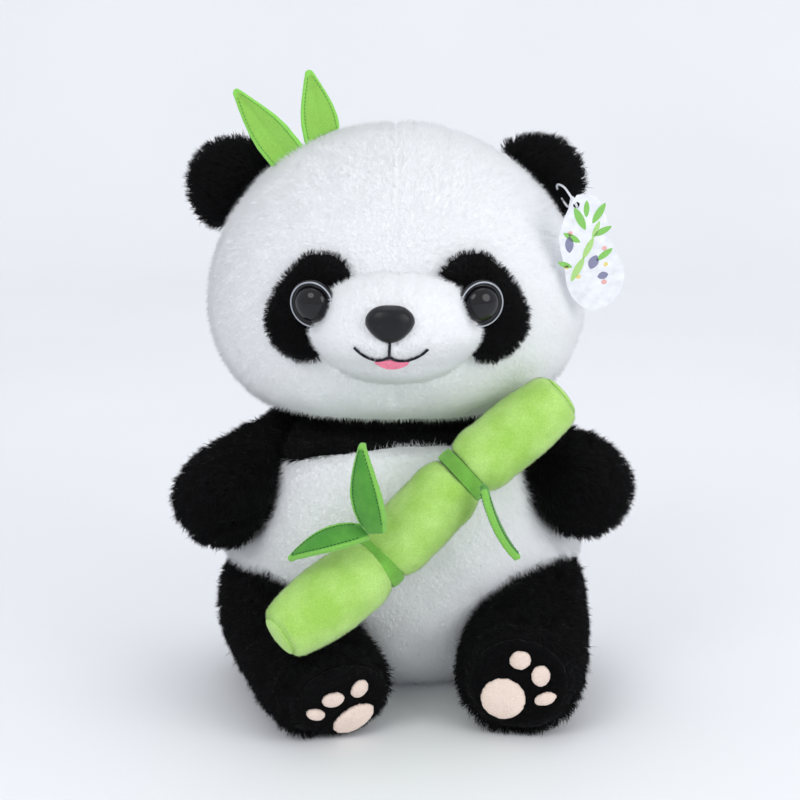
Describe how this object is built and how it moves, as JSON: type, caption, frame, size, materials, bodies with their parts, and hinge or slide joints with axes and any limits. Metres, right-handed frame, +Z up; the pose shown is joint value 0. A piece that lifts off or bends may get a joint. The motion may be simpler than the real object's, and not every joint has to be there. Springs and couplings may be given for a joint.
{
  "type": "plush panda",
  "caption": "Sitting stuffed panda with a fluffy coat, safety eyes and nose, and a stuffed bamboo stalk with felt leaves across its belly.",
  "frame": {"origin": "on the floor under the middle of the seat", "axes": "+Z up, the panda faces -Y, its own left side is +X"},
  "size_m": [0.2122, 0.2037, 0.2883],
  "materials": {
    "white_plush": "fine short pile, cool white",
    "black_plush": "fluffy medium pile, near black",
    "fibre_fill": "loose polyester fibre",
    "sole_fabric": "short smooth pile, black",
    "pad_fabric": "short velour, pale pink",
    "bamboo_fleece": "velour fleece, lime green",
    "band_ribbon": "woven band, mid green",
    "leaf_felt": "two layers of felt, mid green",
    "head_leaf_felt": "two layers of felt, light green",
    "eye_plastic": "glossy, near black",
    "eye_ring_plastic": "glossy, pale grey",
    "nose_plastic": "satin, dark blue grey",
    "washer_plastic": "plain moulded",
    "embroidery_thread": "satin stitch, very dark blue",
    "tongue_felt": "felt, pink",
    "tag_card": "laminated paper card",
    "tag_loop_plastic": "thin clear loop"
  },
  "bodies": {
    "torso": {"torso_stuffing": "fibre_fill", "belly_panel": "white_plush", "back_panel": "white_plush", "shoulder_yoke_front": "black_plush", "shoulder_yoke_back": "black_plush", "seat_panel": "white_plush", "tail": "white_plush", "stalk_segment_lower": "bamboo_fleece", "stalk_segment_middle": "bamboo_fleece", "stalk_segment_upper": "bamboo_fleece", "stalk_stuffing": "fibre_fill", "stalk_cap_lower": "bamboo_fleece", "stalk_cap_upper": "bamboo_fleece", "stalk_band_lower": "band_ribbon", "stalk_band_upper": "band_ribbon"},
    "neck": {"neck_stuffing": "fibre_fill"},
    "head": {"head_stuffing": "fibre_fill", "face_panel_left": "white_plush", "face_panel_right": "white_plush", "head_back_panel": "white_plush", "muzzle": "white_plush", "nose": "nose_plastic", "nose_washer": "washer_plastic", "eye_patch_left": "black_plush", "eye_patch_right": "black_plush", "eye_left": "eye_plastic", "eye_right": "eye_plastic", "eye_ring_left": "eye_ring_plastic", "eye_ring_right": "eye_ring_plastic", "eye_washer_left": "washer_plastic", "eye_washer_right": "washer_plastic", "mouth_stitching": "embroidery_thread", "tongue": "tongue_felt", "ear_left": "black_plush", "ear_right": "black_plush", "tag_loop": "tag_loop_plastic"},
    "arm_left": {"arm_skin_left": "black_plush", "arm_stuffing_left": "fibre_fill"},
    "arm_right": {"arm_skin_right": "black_plush", "arm_stuffing_right": "fibre_fill"},
    "leg_left": {"leg_skin_left": "black_plush", "leg_stuffing_left": "fibre_fill", "sole_left": "sole_fabric", "heel_pad_left": "pad_fabric", "toe_pad_inner_left": "pad_fabric", "toe_pad_middle_left": "pad_fabric", "toe_pad_outer_left": "pad_fabric"},
    "leg_right": {"leg_skin_right": "black_plush", "leg_stuffing_right": "fibre_fill", "sole_right": "sole_fabric", "heel_pad_right": "pad_fabric", "toe_pad_inner_right": "pad_fabric", "toe_pad_middle_right": "pad_fabric", "toe_pad_outer_right": "pad_fabric"},
    "head_leaf_outer": {"head_leaf_outer": "head_leaf_felt"},
    "head_leaf_inner": {"head_leaf_inner": "head_leaf_felt"},
    "stalk_leaf_upright": {"stalk_leaf_upright": "leaf_felt"},
    "stalk_leaf_side": {"stalk_leaf_side": "leaf_felt"},
    "stalk_leaf_hanging": {"stalk_leaf_hanging": "leaf_felt"},
    "hang_tag": {"hang_tag": "tag_card"}
  },
  "joints": [
    {"name": "neck_turn", "type": "hinge", "parent": "torso", "child": "neck", "pos_m": [0, 0, 0.122], "axis": [0, 0, 1], "range_deg": [-6, 6], "stiffness_Nm_per_rad": 0.3},
    {"name": "head_nod", "type": "hinge", "parent": "neck", "child": "head", "pos_m": [0, 0, 0.122], "axis": [1, 0, 0], "range_deg": [-5, 1.5], "stiffness_Nm_per_rad": 0.6},
    {"name": "arm_raise_left", "type": "hinge", "parent": "torso", "child": "arm_left", "pos_m": [0.054, -0.004, 0.109], "axis": [-1, 0, 0], "range_deg": [-10, 18], "stiffness_Nm_per_rad": 0.15},
    {"name": "arm_raise_right", "type": "hinge", "parent": "torso", "child": "arm_right", "pos_m": [-0.051, -0.004, 0.109], "axis": [-1, 0, 0], "range_deg": [-10, 18], "stiffness_Nm_per_rad": 0.15},
    {"name": "leg_splay_left", "type": "hinge", "parent": "torso", "child": "leg_left", "pos_m": [0.0655, -0.012, 0.036], "axis": [0, 0, 1], "range_deg": [-6, 6], "stiffness_Nm_per_rad": 0.3},
    {"name": "leg_splay_right", "type": "hinge", "parent": "torso", "child": "leg_right", "pos_m": [-0.0605, -0.012, 0.036], "axis": [0, 0, -1], "range_deg": [-6, 6], "stiffness_Nm_per_rad": 0.3},
    {"name": "head_leaf_outer_bend", "type": "hinge", "parent": "head", "child": "head_leaf_outer", "pos_m": [-0.0445, 0.0015, 0.242], "axis": [0.786, -0.0168, 0.6181], "range_deg": [-10, 10], "stiffness_Nm_per_rad": 0.001},
    {"name": "head_leaf_inner_bend", "type": "hinge", "parent": "head", "child": "head_leaf_inner", "pos_m": [-0.0325, 0.004, 0.248], "axis": [0.9524, 0.2381, 0.1905], "range_deg": [-10, 10], "stiffness_Nm_per_rad": 0.001},
    {"name": "stalk_leaf_upright_bend", "type": "hinge", "parent": "torso", "child": "stalk_leaf_upright", "pos_m": [-0.0085, -0.112, 0.1025], "axis": [0.899, -0.3996, 0.1793], "range_deg": [-15, 4], "stiffness_Nm_per_rad": 0.001},
    {"name": "stalk_leaf_side_bend", "type": "hinge", "parent": "torso", "child": "stalk_leaf_side", "pos_m": [-0.0125, -0.107, 0.102], "axis": [-0.2703, 0.6808, 0.6808], "range_deg": [-15, 4], "stiffness_Nm_per_rad": 0.001},
    {"name": "stalk_leaf_hanging_bend", "type": "hinge", "parent": "torso", "child": "stalk_leaf_hanging", "pos_m": [0.039, -0.099, 0.1195], "axis": [0.0777, -0.9937, -0.0803], "range_deg": [-10, 10], "stiffness_Nm_per_rad": 0.001},
    {"name": "tag_swing", "type": "hinge", "parent": "head", "child": "hang_tag", "pos_m": [0.08031, -0.04679, 0.23388], "axis": [-0.1022, 0.9728, 0.2079], "range_deg": [-12, 2]}
  ]
}
